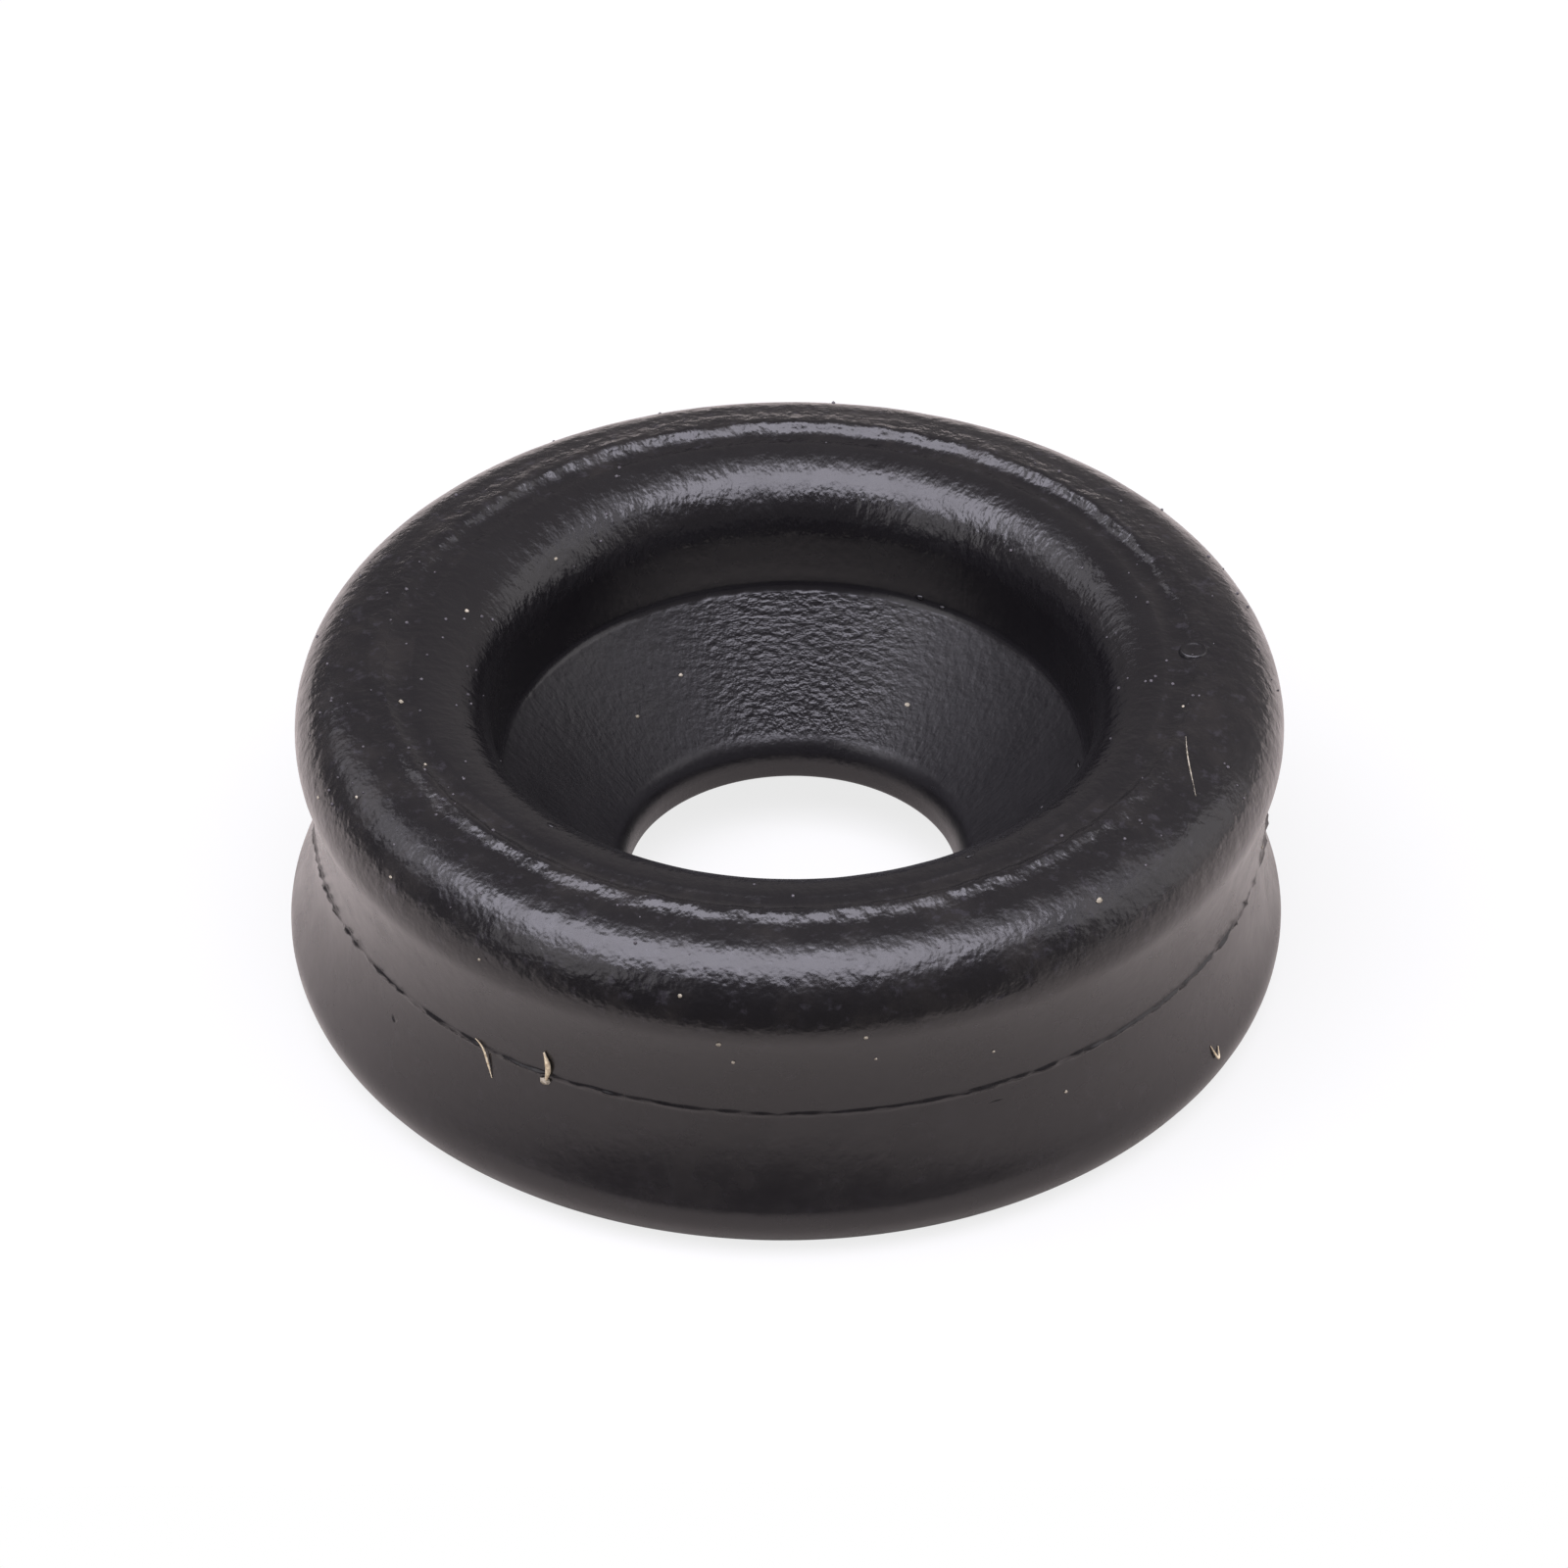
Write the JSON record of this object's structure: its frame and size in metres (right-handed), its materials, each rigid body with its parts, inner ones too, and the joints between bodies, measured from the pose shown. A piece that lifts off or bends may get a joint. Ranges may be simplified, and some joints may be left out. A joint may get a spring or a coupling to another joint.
{
  "type": "rubber packing seal",
  "caption": "Round moulded rubber packing seal: rounded lips with a waist between them, a funnel throat with a conical seat, and a short sealing bore.",
  "frame": {"origin": "centre of the foot, on the plane the seal stands on", "axes": "+Z along the bore's axis, from the foot to the crown; the small gate pip lies close to +X"},
  "size_m": [0.0204, 0.0204, 0.0071],
  "materials": {
    "rubber": "satin black moulded rubber"
  },
  "bodies": {
    "root": {"packing_seal": "rubber"}
  },
  "joints": []
}
